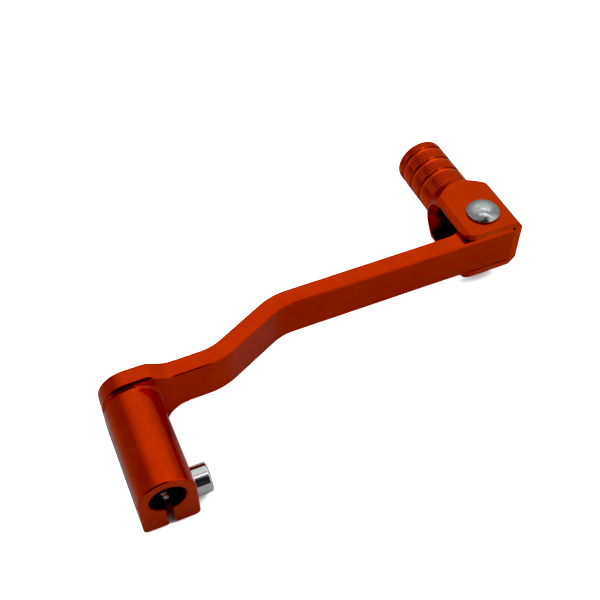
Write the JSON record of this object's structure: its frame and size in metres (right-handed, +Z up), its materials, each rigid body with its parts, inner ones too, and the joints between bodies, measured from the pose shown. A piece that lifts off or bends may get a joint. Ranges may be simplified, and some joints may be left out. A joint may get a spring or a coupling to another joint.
{
  "type": "gear shift lever",
  "caption": "Machined aluminium motorcycle shift lever: split splined hub, S-bent flat arm and a sprung folding knurled toe peg.",
  "frame": {"origin": "on the splined bore's axis, at the hub's engine-side face", "axes": "+X along the arm towards the toe peg, +Y along the shift shaft away from the engine, +Z up"},
  "size_m": [0.1662, 0.1075, 0.0305],
  "materials": {
    "anodised_lever": "satin orange anodised, machined",
    "anodised_peg": "orange anodised, straight knurled",
    "satin_steel": "satin zinc-plated steel",
    "spring_wire": "drawn spring wire",
    "chrome_bolt": "polished chrome plate"
  },
  "bodies": {
    "lever": {"lever_arm": "anodised_lever", "pinch_bolt": "chrome_bolt", "return_spring": "spring_wire"},
    "peg": {"toe_peg": "anodised_peg", "pivot_rivet": "satin_steel", "rivet_washer": "satin_steel"}
  },
  "joints": [
    {"name": "peg_fold", "type": "hinge", "parent": "lever", "child": "peg", "pos_m": [0.1447, 0.0605, 0], "axis": [0, 0, 1], "range_deg": [0, 50], "stiffness_Nm_per_rad": 0.12, "springref_deg": -68.75, "deforming": ["return_spring"]}
  ]
}
